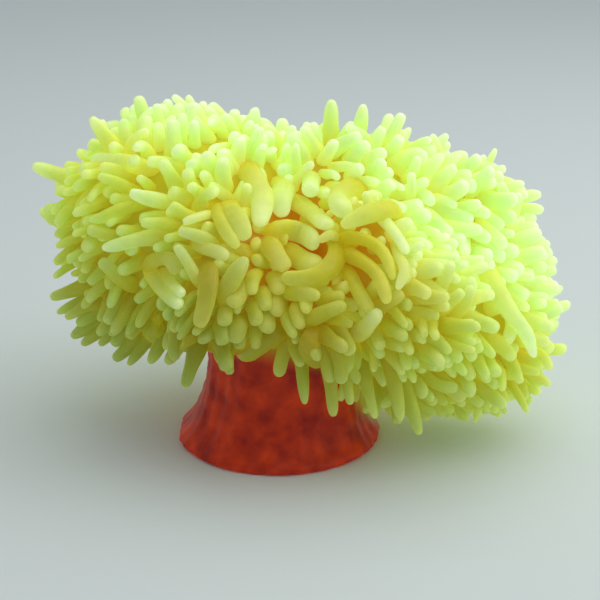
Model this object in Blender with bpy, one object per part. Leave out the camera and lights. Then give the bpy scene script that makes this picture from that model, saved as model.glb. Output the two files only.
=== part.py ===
"""A sea anemone, life size and still: a folded crown of finger tentacles on a smooth column and pedal disc.

+Z is up, -Y is the side that the mouth leans to, and the origin is on the floor, close to the middle of
the pedal disc.
"""

import math
import random

import bmesh
import bpy
import numpy as np
from mathutils import Vector
from mathutils.bvhtree import BVHTree

MM = 0.001
GAP = 0.3 * MM  # between neighbouring pieces

# The crown is a star-shaped body round this centre. Each fold of the disc is a crest of that body:
# the crest's place, and how narrow the fold is.
CROWN_CENTRE = np.array((5.0, 6.0, 48.0)) * MM
CRESTS = {
    "left": ((-59, 7, 67), 3.6),
    "left_high": ((-48, 12, 79), 4.5),
    "left_top": ((-35, 18, 84), 5.0),
    "left_inner": ((-20, 22, 82), 5.5),
    "left_low": ((-51, 0, 43), 3.6),
    "valley": ((-3, 30, 78), 5.0),
    "right_top": ((15, 18, 83), 4.5),
    "right_high": ((36, 15, 79), 4.5),
    "right_shoulder": ((62, 10, 66), 4.5),
    "right": ((71, 5, 43), 4.0),
    "right_low": ((69, -4, 23), 4.5),
    "front_right_low": ((40, -14, 18), 6.0),
    "front_right": ((44, -32, 47), 4.0),
    "front": ((12, -37, 41), 4.5),
    "front_left": ((-25, -33, 45), 4.0),
    "brow_right": ((28, -18, 67), 5.0),
    "brow_left": ((-28, -18, 66), 5.0),
    "back_high_left": ((-28, 38, 72), 4.5),
    "back_high_right": ((26, 38, 70), 4.5),
    "back_left": ((-40, 46, 54), 3.5),
    "back": ((2, 56, 54), 3.5),
    "back_right": ((44, 45, 46), 3.5),
}
FOLD_SHARPNESS = 12.0  # how sharply neighbouring folds meet

# The mouth, in a dip that leans forward and a little to the right.
MOUTH_AXIS = np.array((0.02, -0.86, 0.52))
MOUTH_RADIUS = 9 * MM
MOUTH_DEPTH = 15 * MM
MOUTH_PROFILE = (  # (radius, height over the disc, height of the lips' folds), from the slit outwards
    (1.6, -6.5, 0), (2.6, -3.5, 0.2), (3.4, 0, 0.5), (5.4, 2.2, 0.6), (7.8, 1.6, 0.5), (9, -0.8, 0),
)
MOUTH_SIDES = 16
LIP_FOLDS = 8

# The rim of the tentacled disc: (azimuth from +X in degrees, height), joined by a smooth curve.
RIM = (
    (-180, 36), (-150, 38), (-120, 39), (-90, 37), (-68, 33), (-45, 18),
    (-20, 10), (5, 16), (40, 30), (90, 40), (135, 38),
)

COLUMN_BASE = np.array((-2.0, -1.0)) * MM
COLUMN_TOP = np.array((2.0, 3.0)) * MM
COLUMN_HEIGHT = 38 * MM
PEDAL_THICKNESS = 3 * MM
COLUMN_PROFILE = (  # (height, radius)
    (0, 29.5), (3, 27.5), (8, 24.5), (15, 22.8), (24, 22.5), (32, 23.5), (38, 25),
)
COLUMN_SIDES = 28
COLUMN_FOLDS = 9
COLUMN_FOLD_DEPTH = 0.022

# Tentacles
SEED = 11
TENTACLE_SPACING = 7.3 * MM
TENTACLE_ROOM = 0.4 * MM  # kept between neighbours
TENTACLE_TRIES = 9000
TENTACLE_SIDES = 5
TENTACLE_RADIUS = (2.1 * MM, 2.8 * MM)
TENTACLE_LENGTH = (10 * MM, 14 * MM)
TENTACLE_ROOT = 2.6 * MM  # how far a tentacle is sunk in the disc
FLOOR_ROOM = 1.0 * MM  # between the lowest tentacles and the floor
DROOP_BAND = 14 * MM  # height above the rim over which the tentacles come to hang
CURL_BAND = 0.9  # angle off the mouth's axis, in radians, inside which the tentacles curl away from it
HEADING_CHANCE = 0.16  # how far chance turns a tentacle off its way
LONG_BEND = 0.12  # of the long tentacles, in radians
LIP_ROOM = 3 * MM  # bare disc between the mouth and the nearest roots

# Making room: each try turns or shortens a tentacle a little.
PLACE_TRIES = 8
CUT_TRIES = 14
FLOOR_TRIES = 10
TURN = 0.12  # how far a try turns a tentacle off a cut or off the floor
PART_TURN = 0.2  # and off its neighbours
SHORTEN = 0.97
STRAIGHTEN = 0.7
CROSSING_SHARES = (0.15, 0.4, 0.65, 0.9, 1.0)  # of the length, where neighbours are compared

# Tentacles that stand out of the outline: where the root is sought, the tip, and the radius at the root.
LONG_TENTACLES = {
    "left_spike": ((-58, 8, 73), (-70, 6, 78), 3.0),
    "left_low_spike": ((-58, 5, 62), (-68, 3, 66), 2.6),
    "left_corner": ((-48, 13, 80), (-54, 13, 90), 2.4),
    "left_crown": ((-38, 16, 84), (-41, 15, 95.5), 2.6),
    "left_crown_inner": ((-31, 18, 84), (-33, 17, 94), 2.4),
    "valley_left": ((-22, 20, 82), (-23, 19, 93), 2.4),
    "top": ((13, 17, 82), (13, 15, 94.5), 2.7),
    "top_second": ((21, 16, 81), (22, 14, 93.5), 2.6),
    "right_finger": ((40, 15, 76), (45.5, 14, 85), 2.6),
    "hanging_long": ((13, -36, 36), (13, -39, 22), 2.3),
    "hanging_left": ((6, -36, 37), (7, -40, 26), 2.3),
    "hanging_right": ((20, -35, 35), (19.5, -38, 25), 2.3),
    "hanging_far_left": ((-25, -34, 40), (-26, -38, 30), 2.5),
    "hanging_far_right": ((36, -25, 28), (36.5, -30, 14), 2.5),
}

# Meridian cuts between the folds, as azimuths in degrees from +X, and the fold that each one starts.
FOLD_CUTS = (
    (-118, "fold_front"), (-58, "fold_front_right"), (-12, "fold_right"), (40, "fold_back_right"),
    (92, "fold_back_left"), (148, "fold_left"), (192, "fold_front_left"),
)


def unit(vectors):
    vectors = np.asarray(vectors, float)
    return vectors / np.linalg.norm(vectors, axis=-1, keepdims=True)


MOUTH_AXIS = unit(MOUTH_AXIS)


def crown_radius(directions):
    """Distance from the crown's centre to its surface, along each direction."""
    total = np.zeros(len(directions))
    for place, narrowness in CRESTS.values():
        crest = np.array(place) * MM - CROWN_CENTRE
        reach = np.linalg.norm(crest)
        along = directions @ (crest / reach)
        total += (reach / MM * np.exp(-narrowness * (1 - along))) ** FOLD_SHARPNESS
    return total ** (1 / FOLD_SHARPNESS) * MM


def crown_point(directions):
    return CROWN_CENTRE + directions * crown_radius(directions)[:, None]


def crown_normal(direction, step=0.02):
    """Outward normal of the crown's surface at one direction from its centre."""
    side = unit(np.cross(direction, (0.3, 0.5, 0.8)))
    other = np.cross(direction, side)
    near = unit(np.stack([direction + step * side, direction - step * side,
                          direction + step * other, direction - step * other]))
    at = crown_point(near)
    normal = unit(np.cross(at[0] - at[1], at[2] - at[3]))
    return normal if normal @ direction > 0 else -normal


class Crown:
    """The crown's own facets, to stand tentacles on."""

    def __init__(self):
        mesh = crown_mesh()
        self.tree = BVHTree.FromBMesh(mesh)
        mesh.free()

    def point(self, direction):
        """Where the surface lies in a direction from the crown's centre."""
        hit, _, _, _ = self.tree.ray_cast(Vector(CROWN_CENTRE), Vector(direction))
        return np.array(hit)


def rim_height(azimuth):
    """Height of the disc's rim at an azimuth in degrees."""
    angles = np.array([a for a, _ in RIM] + [RIM[0][0] + 360], float)
    heights = np.array([h for _, h in RIM] + [RIM[0][1]], float)
    turn = (azimuth + 180) % 360 - 180
    i = int(np.searchsorted(angles, turn, side="right")) - 1
    t = (turn - angles[i]) / (angles[i + 1] - angles[i])
    t = t * t * (3 - 2 * t)
    return (heights[i] * (1 - t) + heights[i + 1] * t) * MM


def azimuth_of(point):
    x, y = point[:2] - CROWN_CENTRE[:2]
    return math.degrees(math.atan2(y, x))


def column_centre(height):
    """Middle of the column at a height: it leans a little."""
    return COLUMN_BASE + (COLUMN_TOP - COLUMN_BASE) * min(height / COLUMN_HEIGHT, 1)


def column_radius(height):
    heights = [h * MM for h, _ in COLUMN_PROFILE]
    radii = [r * MM for _, r in COLUMN_PROFILE]
    return float(np.interp(height, heights, radii))


class Tentacle:
    """One finger: an arc from its root on the disc, tapering to a blunt tip."""

    def __init__(self, root, heading, pull, bend, length, radius):
        self.root, self.heading, self.pull = root, heading, pull
        self.bend, self.length, self.radius = bend, length, radius

    def at(self, share):
        """Point and direction at a share of the length; below 0 it runs straight back into the disc."""
        if share < 0:
            return self.root + self.heading * share * self.length, self.heading
        side = unit(self.pull - self.heading * float(self.pull @ self.heading))
        angle = self.bend * share
        reach = self.length / self.bend
        place = self.root + reach * (math.sin(angle) * self.heading + (1 - math.cos(angle)) * side)
        return place, math.cos(angle) * self.heading + math.sin(angle) * side

    def points(self):
        shares = (-TENTACLE_ROOT / self.length, 0, 0.35, 0.7, 1.0)
        return [self.at(share)[0] for share in shares]


def make_tentacle(rng, root, direction):
    """A tentacle for this root: it stands off the disc, droops near the rim and curls near the mouth."""
    normal = crown_normal(direction)
    outward = unit(root - CROWN_CENTRE)
    near_mouth = max(0.0, 1 - math.acos(min(1.0, float(direction @ MOUTH_AXIS))) / CURL_BAND)
    droop = max(0.0, 1 - (root[2] - rim_height(azimuth_of(root))) / DROOP_BAND)
    jitter = np.array([rng.gauss(0, 1) for _ in range(3)])
    heading = unit(0.6 * normal + 0.4 * outward + HEADING_CHANCE * jitter + droop * np.array((0, 0, -0.6)))
    away = unit(heading - MOUTH_AXIS * float(heading @ MOUTH_AXIS) + 1e-6)
    pull = 0.9 * jitter[::-1] * (1 - near_mouth) + 1.6 * near_mouth * away - droop * np.array((0, 0, 0.8))
    bend = rng.uniform(0.15, 0.7) + 0.8 * near_mouth
    length = rng.uniform(*TENTACLE_LENGTH) * (1 + 0.25 * droop)
    radius = rng.uniform(*TENTACLE_RADIUS)
    return Tentacle(root, heading, pull, bend, length, radius)


def long_tentacle(crown, seek, tip, radius):
    """A tentacle from the crown's surface near one place to a given tip."""
    root = crown.point(unit(np.array(seek) * MM - CROWN_CENTRE))
    span = np.array(tip) * MM - root
    pull = np.array((0.3, -0.5, 1.0))
    return Tentacle(root, unit(span), pull, LONG_BEND, float(np.linalg.norm(span)), radius * MM)


def steer(crown, tentacle, start, end):
    """Turns a tentacle until it keeps off its fold's two cuts, the column, the mouth and the floor.

    Returns whether it does.
    """
    planes = (cut_plane(start), -cut_plane(end))
    for _ in range(CUT_TRIES):
        room = 1.15 * tentacle.radius + GAP
        points = tentacle.points()
        tight = [n for n in planes if any(float((p - CROWN_CENTRE) @ n) < room for p in points)]
        if not tight:
            break
        for normal in tight:
            short = room - min(float((p - CROWN_CENTRE) @ normal) for p in points[:2])
            if short > 0:
                direction = unit(tentacle.root + normal * (short + 0.1 * MM) - CROWN_CENTRE)
                tentacle.root = crown.point(direction)
            tentacle.heading = unit(tentacle.heading + TURN * normal)
    for _ in range(FLOOR_TRIES):
        low = min(float(place[2]) for place in tentacle.points()) - tentacle.radius
        if low > FLOOR_ROOM:
            break
        tentacle.heading = unit(tentacle.heading + (0, 0, TURN))
        tentacle.length *= SHORTEN
    return is_clear(tentacle, planes)


def crossing(tentacle, other):
    """The push that parts two tentacles, or None where they already stand apart."""
    mine = np.array([tentacle.at(share)[0] for share in CROSSING_SHARES])
    theirs = np.array([other.at(share)[0] for share in CROSSING_SHARES])
    apart = mine[:, None] - theirs[None]
    far = np.linalg.norm(apart, axis=2)
    i, j = np.unravel_index(np.argmin(far), far.shape)
    if far[i, j] > tentacle.radius + other.radius + TENTACLE_ROOM:
        return None
    return unit(apart[i, j])


def place_tentacles(crown, tentacles, start, end):
    """The tentacles of one fold that can stand clear of its cuts and of each other."""
    placed = []
    for tentacle in tentacles:
        for _ in range(PLACE_TRIES):
            clear = steer(crown, tentacle, start, end)
            pushes = [crossing(tentacle, other) for other in placed]
            pushes = [push for push in pushes if push is not None]
            if clear and not pushes:
                placed.append(tentacle)
                break
            if pushes:
                tentacle.heading = unit(tentacle.heading + PART_TURN * sum(pushes))
                tentacle.bend *= STRAIGHTEN
    return placed


def is_clear(tentacle, planes):
    room = 1.1 * tentacle.radius + GAP
    for place in tentacle.points():
        off = place - CROWN_CENTRE
        if any(float(off @ normal) < room for normal in planes):
            return False
        if place[2] < tentacle.radius + FLOOR_ROOM:
            return False
        if place[2] < COLUMN_HEIGHT + room:
            out = np.linalg.norm(place[:2] - column_centre(place[2]))
            if out < column_radius(max(place[2], 0)) * (1 + COLUMN_FOLD_DEPTH) + room:
                return False
        along = float(off @ MOUTH_AXIS)
        if along > 0 and np.linalg.norm(off - MOUTH_AXIS * along) < MOUTH_RADIUS + room:
            return False
    return True


def tentacle_layout(crown):
    """Tentacles spread evenly over the disc, from the lips to the rim."""
    rng = random.Random(SEED)
    cells = {}
    made = [long_tentacle(crown, *ends) for ends in LONG_TENTACLES.values()]
    for tentacle in made:
        cells.setdefault(cell_of(tentacle.root), []).append(tentacle.root)
    for _ in range(TENTACLE_TRIES):
        direction = unit([rng.gauss(0, 1) for _ in range(3)])
        root = crown.point(direction)
        if root[2] < rim_height(azimuth_of(root)):
            continue
        off = root - CROWN_CENTRE
        along = float(off @ MOUTH_AXIS)
        if along > 0 and np.linalg.norm(off - MOUTH_AXIS * along) < MOUTH_RADIUS + LIP_ROOM:
            continue
        i, j, k = cell_of(root)
        steps = (-1, 0, 1)
        near = [
            other for di in steps for dj in steps for dk in steps
            for other in cells.get((i + di, j + dj, k + dk), ())
        ]
        if any(np.linalg.norm(root - other) < TENTACLE_SPACING for other in near):
            continue
        cells.setdefault((i, j, k), []).append(root)
        made.append(make_tentacle(rng, root, direction))
    return made


def cell_of(point):
    return tuple(int(c // TENTACLE_SPACING) for c in point)


def across(direction):
    """Two directions square to this one and to each other."""
    side = unit(np.cross(direction, (0.31, 0.52, 0.79)))
    return side, np.cross(direction, side)


def ring(centre, axes, radius, sides):
    """Points of a circle round a centre, in the plane of two directions."""
    angles = 2 * np.pi * np.arange(sides) / sides
    return centre + radius * (np.outer(np.cos(angles), axes[0]) + np.outer(np.sin(angles), axes[1]))


def skin_rings(mesh, rings, end_tip=None):
    """A closed tube through rings of points, with a flat start and a flat or pointed end."""
    loops = [[mesh.verts.new(p) for p in points] for points in rings]
    sides = len(loops[0])
    for low, high in zip(loops, loops[1:]):
        for i in range(sides):
            j = (i + 1) % sides
            mesh.faces.new((low[i], low[j], high[j], high[i]))
    mesh.faces.new(reversed(loops[0]))
    if end_tip is None:
        mesh.faces.new(loops[-1])
        return
    tip = mesh.verts.new(end_tip)
    for i in range(sides):
        mesh.faces.new((loops[-1][i], loops[-1][(i + 1) % sides], tip))


def add_tentacle(mesh, tentacle):
    stations = [(-TENTACLE_ROOT / tentacle.length, 1.1), (0.89, 0.8)]
    if tentacle.bend > 0.6:
        stations.insert(1, (0.45, 0.95))
    hinge = unit(np.cross(tentacle.heading, tentacle.pull))
    rings = []
    for share, width in stations:
        place, direction = tentacle.at(share)
        axes = (np.cross(hinge, direction), hinge)
        rings.append(ring(place, axes, width * tentacle.radius, TENTACLE_SIDES))
    skin_rings(mesh, rings, end_tip=tentacle.at(1.0)[0])


def material(name, colour, roughness):
    made = bpy.data.materials.new(name)
    made.use_nodes = True
    shader = made.node_tree.nodes["Principled BSDF"]
    shader.inputs["Base Color"].default_value = (*colour, 1)
    shader.inputs["Roughness"].default_value = roughness
    shader.inputs["Metallic"].default_value = 0
    made.diffuse_color = (*colour, 1)
    return made


def new_object(name, mesh, finish=None):
    bmesh.ops.recalc_face_normals(mesh, faces=mesh.faces)
    data = bpy.data.meshes.new(name)
    mesh.to_mesh(data)
    mesh.free()
    made = bpy.data.objects.new(name, data)
    bpy.context.scene.collection.objects.link(made)
    if finish:
        data.materials.append(finish)
        data.shade_smooth()
    else:
        made.hide_render = True
        made.display_type = "WIRE"
    return made


def boolean(target, other, operation, overlapping=False):
    step = target.modifiers.new(f"{operation.lower()} {other.name}", "BOOLEAN")
    step.operation = operation
    step.object = other
    step.solver = "EXACT"
    step.use_self = overlapping


def column_ring(height, extra=0.0):
    """Points round the column, which has shallow folds."""
    centre = column_centre(height)
    points = []
    for i in range(COLUMN_SIDES):
        angle = 2 * math.pi * i / COLUMN_SIDES
        depth = 1 + COLUMN_FOLD_DEPTH * math.cos(COLUMN_FOLDS * angle)
        radius = column_radius(height) * depth + extra
        points.append((centre[0] + radius * math.cos(angle), centre[1] + radius * math.sin(angle), height))
    return points


def column_piece(name, bottom, top, finish=None, extra=0.0):
    """A length of the column between two heights."""
    inner = [h * MM for h, _ in COLUMN_PROFILE if bottom + MM < h * MM < top - MM]
    mesh = bmesh.new()
    skin_rings(mesh, [column_ring(h, extra) for h in (bottom, *inner, top)])
    return new_object(name, mesh, finish)


def mouth_cutter(reach):
    mesh = bmesh.new()
    axes = across(MOUTH_AXIS)
    ends = [CROWN_CENTRE + MOUTH_AXIS * at for at in (reach - MOUTH_DEPTH - GAP, 2 * reach)]
    skin_rings(mesh, [ring(end, axes, MOUTH_RADIUS + GAP, MOUTH_SIDES) for end in ends])
    return new_object("mouth_cutter", mesh)


def mouth_piece(reach, finish):
    """The lips: a folded ring round a narrow slit, on a short throat."""
    axes = across(MOUTH_AXIS)
    folds = np.cos(LIP_FOLDS * 2 * np.pi * np.arange(MOUTH_SIDES) / MOUTH_SIDES)
    rings = [ring(CROWN_CENTRE + MOUTH_AXIS * (reach - MOUTH_DEPTH), axes, MOUTH_RADIUS, MOUTH_SIDES)]
    for radius, height, fold in reversed(MOUTH_PROFILE):
        centre = CROWN_CENTRE + MOUTH_AXIS * (reach + height * MM)
        lift = np.outer(fold * folds, MOUTH_AXIS) * MM
        rings.append(ring(centre, axes, radius * MM, MOUTH_SIDES) + lift)
    mesh = bmesh.new()
    skin_rings(mesh, rings)
    return new_object("mouth", mesh, finish)


def crown_mesh():
    mesh = bmesh.new()
    bmesh.ops.create_icosphere(mesh, subdivisions=3, radius=1)
    directions = unit([v.co for v in mesh.verts])
    for vertex, place in zip(mesh.verts, crown_point(directions)):
        vertex.co = place
    return mesh


def cut_plane(azimuth):
    """Normal of the meridian plane at an azimuth, pointing to larger azimuths."""
    angle = math.radians(azimuth + 90)
    return np.array((math.cos(angle), math.sin(angle), 0.0))


def fold_mesh(start, end):
    """The crown's wedge between two meridian planes, closed, and half a gap inside each plane."""
    mesh = crown_mesh()
    for normal in (cut_plane(start), -cut_plane(end)):
        place = CROWN_CENTRE + normal * GAP / 2
        cut = bmesh.ops.bisect_plane(
            mesh, geom=[*mesh.verts, *mesh.edges, *mesh.faces],
            plane_co=place, plane_no=normal, clear_inner=True, dist=1e-7,
        )
        rim = [e for e in cut["geom_cut"] if isinstance(e, bmesh.types.BMEdge)]
        bmesh.ops.contextual_create(mesh, geom=rim)
    bmesh.ops.triangulate(mesh, faces=[f for f in mesh.faces if len(f.verts) > 4])
    return mesh


def build_fold(name, start, end, crown, tentacles, finish, cutters):
    fold = new_object(name, fold_mesh(start, end), finish)
    for cutter in cutters:
        boolean(fold, cutter, "DIFFERENCE")
    own = [t for t in tentacles if (azimuth_of(t.root) - start) % 360 < end - start]
    own = place_tentacles(crown, own, start, end)
    mesh = bmesh.new()
    for tentacle in own:
        add_tentacle(mesh, tentacle)
    fingers = new_object(f"{name}_tentacles", mesh)
    boolean(fold, fingers, "UNION", overlapping=True)
    return len(own)


def main():
    for old in list(bpy.data.objects):
        bpy.data.objects.remove(old)
    flesh_red = material("column red", (0.36, 0.06, 0.02), 0.45)
    flesh_yellow = material("tentacle yellow", (0.62, 0.72, 0.12), 0.5)
    flesh_orange = material("mouth orange", (0.62, 0.33, 0.03), 0.5)
    column_piece("pedal_disc", 0.0, PEDAL_THICKNESS, flesh_red)
    column_piece("column", PEDAL_THICKNESS + GAP, COLUMN_HEIGHT, flesh_red)
    column_cutter = column_piece("column_cutter", PEDAL_THICKNESS, COLUMN_HEIGHT + GAP, extra=GAP)
    mouth_reach = float(crown_radius(MOUTH_AXIS[None])[0])
    mouth_piece(mouth_reach, flesh_orange)
    cutters = (column_cutter, mouth_cutter(mouth_reach))
    crown = Crown()
    tentacles = tentacle_layout(crown)
    count = 0
    for i, (start, name) in enumerate(FOLD_CUTS):
        end = FOLD_CUTS[(i + 1) % len(FOLD_CUTS)][0]
        end += 360 if end < start else 0
        count += build_fold(name, start, end, crown, tentacles, flesh_yellow, cutters)
    print(len(tentacles), "tentacles laid out,", count, "built")


if __name__ == "__main__":
    main()
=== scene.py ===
"""A sea anemone as a still museum model: a folded crown of soft finger tentacles on a short red column."""

import math
import random

import bpy
import numpy as np
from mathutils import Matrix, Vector
from mathutils.bvhtree import BVHTree
from mathutils.kdtree import KDTree


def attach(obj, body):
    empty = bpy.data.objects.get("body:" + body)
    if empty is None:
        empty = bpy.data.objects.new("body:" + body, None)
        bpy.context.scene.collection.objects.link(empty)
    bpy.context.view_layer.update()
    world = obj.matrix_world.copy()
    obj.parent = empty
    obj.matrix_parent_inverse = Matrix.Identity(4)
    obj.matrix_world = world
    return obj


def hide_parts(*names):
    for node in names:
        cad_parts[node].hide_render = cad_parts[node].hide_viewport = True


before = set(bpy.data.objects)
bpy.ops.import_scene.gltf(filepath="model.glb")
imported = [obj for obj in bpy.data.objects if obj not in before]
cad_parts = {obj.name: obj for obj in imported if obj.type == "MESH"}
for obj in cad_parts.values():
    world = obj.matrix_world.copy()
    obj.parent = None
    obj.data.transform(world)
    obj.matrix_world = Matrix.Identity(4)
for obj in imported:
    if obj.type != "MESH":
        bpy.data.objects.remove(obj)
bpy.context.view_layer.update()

MM = 0.001
FLESH = list(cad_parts)

# ---- The crown's shape, as in the solids ----
CROWN_CENTRE = np.array((5.0, 6.0, 48.0)) * MM
SKIN_DEPTH = 1.0 * MM  # how far the skin lies inside the solids
CRESTS = (  # (place in mm, how narrow the fold is)
    ((-59, 7, 67), 3.6), ((-48, 12, 79), 4.5), ((-35, 18, 84), 5), ((-20, 22, 82), 5.5),
    ((-51, 0, 43), 3.6), ((-3, 30, 78), 5), ((15, 18, 83), 4.5), ((36, 15, 79), 4.5),
    ((62, 10, 66), 4.5), ((71, 5, 43), 4), ((69, -4, 23), 4.5), ((40, -14, 18), 6),
    ((44, -32, 47), 4), ((12, -37, 41), 4.5), ((-25, -33, 45), 4), ((28, -18, 67), 5),
    ((-28, -18, 66), 5), ((-28, 38, 72), 4.5), ((26, 38, 70), 4.5), ((-40, 46, 54), 3.5),
    ((2, 56, 54), 3.5), ((44, 45, 46), 3.5),
)
FOLD_SHARPNESS = 12.0
RIM = (  # (azimuth in degrees from +X, height in mm) of the lowest tentacles
    (-180, 36), (-150, 38), (-120, 39), (-90, 37), (-68, 33), (-45, 18),
    (-20, 10), (5, 16), (40, 30), (90, 40), (135, 38),
)
COLUMN_BASE = np.array((-2.0, -1.0)) * MM
COLUMN_TOP = np.array((2.0, 3.0)) * MM
COLUMN_HEIGHT = 38 * MM
COLUMN_PROFILE = (  # (height, radius) in mm
    (0, 28.6), (0.7, 29.5), (1.8, 29.2), (3, 27.6), (5, 26.0), (8, 24.5), (15, 22.8),
    (24, 22.5), (32, 23.5), (38, 25),
)
COLUMN_SIDES = 108
FOLDS = (9, 0.45)  # how many round the column, and their depth in mm
GROOVES = (31, 0.16)  # the same for the narrow ones between them
CREASES = (1.55, 0.14)  # radians of their wave for each mm of height, and depth in mm
CREASES_FROM = (4, 9)  # heights in mm where the creases begin and are full
WRINKLES_FROM = (0.2, 2.5)  # and where all of these do
WRINKLES_END = (2 * MM, 12 * MM)  # how far above the rim they end, and their fade

MOUTH_PIT = (3.2 * MM, 9.0 * MM)  # width and depth
LIPS = (6.0 * MM, 1.6 * MM, 2.2 * MM)  # radius, height and width
LIP_WAVE = (0.75, 0.45)  # the lips' middle height and its wave, as shares
LIP_FOLDS = 11
DISC_PLEATS = 26
PLEAT_HEIGHT = 0.5 * MM
PLEATS_FROM = (7 * MM, 12 * MM)  # off the mouth, where the pleats begin and are full
PLEATS_END = (25 * MM, 40 * MM)  # and where they fade and end
VOXEL = 1.25 * MM
SOFTEN = (0.5, 5)  # factor and rounds

# ---- Where the colours, the painted light and the painted shade lie ----
GOLD_LOW = 0.1  # how far below the mouth the golden part of the disc is centred
GOLD_REACH = (0.58, 0.95)  # cosines off it where gold begins and is full
GOLD_SKIN = (10 * MM, 34 * MM)  # off the mouth, where the skin's gold begins to fade and ends
THROAT = (3 * MM, 8 * MM)  # and the throat's orange
GOLD_PATCHES = (((-27, -31, 61), 12), ((35, -27, 62), 11))  # (place, reach in mm) on the bare disc
GOLD_CORE = 0.4  # share of a patch's reach that is all gold
RED_FROM = (1 * MM, 9 * MM)  # how far below the rim red begins, and its fade
PAINTED_LIGHT_RISE = np.array((0.48, 0.42, 1.0))  # the way in which painted light makes the tentacles paler, upwards
PAINTED_LIGHT_REACH = (51 * MM, 81 * MM)  # how far along it the painted light begins and is full
PAINTED_LIGHT_ROUND = (12 * MM, 26 * MM)  # and how far off the mouth
PAINTED_SHADE_FALL = np.array((0.45, 0.8, 1.0))  # the way in which the painted shade fades: darker and more olive low and in front
PAINTED_SHADE_REACH = (-32 * MM, 73 * MM)  # how far along it the painted shade begins to fade and ends
GOLD_UNDER_PAINTED_SHADE = 0.6  # share of a tentacle's gold that full painted shade takes away
PAINTED_SHADE_UNDER_PALE = 0.5  # share of its painted shade that full pale takes away

# ---- Tentacles ----
SEEDS = (5, 7, 9)  # for the long, the short and the shortest grown ones
MARK_SEED = 6
SPACING = 3.45 * MM  # between the roots of grown ones
TRIES = 50000  # places looked at
BARE_MOUTH = (14 * MM, 7.5 * MM)  # how near to the mouth the long and the short grown ones stand
LAID_ROOM = 2.0 * MM  # between a laid tentacle's side and the next root
RADIUS = (1.35 * MM, 2.2 * MM)
LENGTHS = ((8 * MM, 12.5 * MM), (6.5 * MM, 8 * MM), (5 * MM, 6.5 * MM))
FILL_ROOM = 0.8 * MM  # bare skin wider than this round a place gets a short tentacle
ROOT_DEPTH = 1.9 * MM
FLOOR_ROOM = 0.8 * MM
DROOP_BAND = 16 * MM  # above the rim, where they droop
MOUTH_BAND = (12 * MM, 34 * MM)  # off the mouth, where their lean there begins to fade and ends
LEAN = 34  # degrees off the disc's normal
LEAN_ADDED = (22, 14)  # degrees more near the mouth, and at the rim
LEAN_SPREAD = 12
LIE = (0.7, 0.55)  # how strongly it lies away from the mouth, and with the swirl over the disc
LIE_DOWN = (0.25, 1.2)  # and down, everywhere and at the rim
SWIRL_SIZE = 9 * MM
JITTER = 0.25  # of the heading, by chance
SHORTER = (0.1, 0.2)  # shares of the length lost at the rim, and near the mouth
FLATNESS = (0.72, 0.95)
TAPER = (0.0, 0.25)
CURL = (-6, 22)  # degrees at each bead
CURL_ADDED = 8  # degrees more near the mouth
CURL_WAY = (0.6, 0.5, 2.5)  # how strongly it curls the way that it lies, down, and by chance
FINGER_SIDES = 6
ROUNDING_LOSS = 0.87  # what smoothing leaves of a finger's width
SHORT_FINGER = (  # (share of the length, width)
    (0.0, 1.50), (0.17, 1.34), (0.34, 1.14), (0.54, 1.03), (0.75, 1.0), (0.9, 0.93), (0.975, 0.62),
)
LONG_FINGER = (
    (0.0, 1.15), (0.14, 1.08), (0.32, 1.03), (0.54, 1.0), (0.76, 0.99), (0.91, 0.91), (0.98, 0.60),
)
LAID_GIVE = 0.15  # how far the laid tentacles let themselves be pushed
STANDING_GIVE = 0.1
STANDING_TAPER = 0.65
STUB_FORM = (0.85, 0.1)  # flatness and how much it narrows
BEADS = 6
MIDDLE_BEAD = 3
LINE_STEPS = 12  # points between two places of a laid tentacle's line
SWELLING = (0.1, 1.6)  # share of a finger's width, and how many along it
TIP_ROOM = 0.85  # of a finger's radius, from its last bead to its tip
BEAD_WIDTHS = np.array((0.6, 0.85, 1.0, 1.0, 0.96, 0.86))
BEAD_GIVE = np.array((0, 0, 0.7, 1, 1, 1))
TAPER_MIDDLE = 0.55  # how far along a finger its narrowing leaves the width as it is
SETTLE_ROUNDS = (60, 24, 10)
PAIRS_EVERY = 6  # rounds between two searches for fingers that touch
PAIR_REACH = 2.05  # of the widest finger's radius
NEIGHBOURS = 2  # beads so near along one finger don't press each other
PRESSED = 0.86  # how near two fingers may lie, as a share of their widths
PACE = 0.6  # share of what is wanted that one round moves a bead
OFF_SKIN = 0.75  # of its radius, how far a bead stays off the skin
SPRING = 0.22  # how strongly a finger straightens to its own curl
CLEAR_HEIGHT = 16 * MM  # nothing grown stands so near in front of a laid tentacle
CLEAR_SIDE = (0.75, 0.45)  # shares of the laid one's and the grown one's radius that may overlap
BARELY = 0.05  # a bead that gives less than this isn't lifted off the skin

GROUPS = (  # (start azimuth in degrees, name of the side)
    (-118, "front"), (-58, "front_right"), (-12, "right"), (40, "back_right"),
    (92, "back_left"), (148, "left"), (192, "front_left"),
)

# ---- The bake map: shares of each tentacle's patch ----
ROOT_PATCH = (0.04, 0.03)  # centre and radius of the root's end
SIDE_PATCH = (0.08, 0.84)  # start and size of the side
SEAM_ROOM = 1.2  # turns round a finger that the side's patch has room for

# ---- Tentacles placed one by one, as seen from the front and a little above ----
FACING = np.array((0.0, -0.94, 0.342))
UPWARD = np.array((0.0, 0.342, 0.94))
MOUTH_PLACE = (4.3, 50.6)  # mm to the right and mm above, along UPWARD
SIGHT_START = 0.3  # m in front of the disc, where a line of sight starts
LEAST_FACING = 0.5  # of the disc, in raising a place off it
ROOT_LIFT = -2.5  # mm off the disc of each laid tentacle's root, which its first place leaves out
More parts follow.
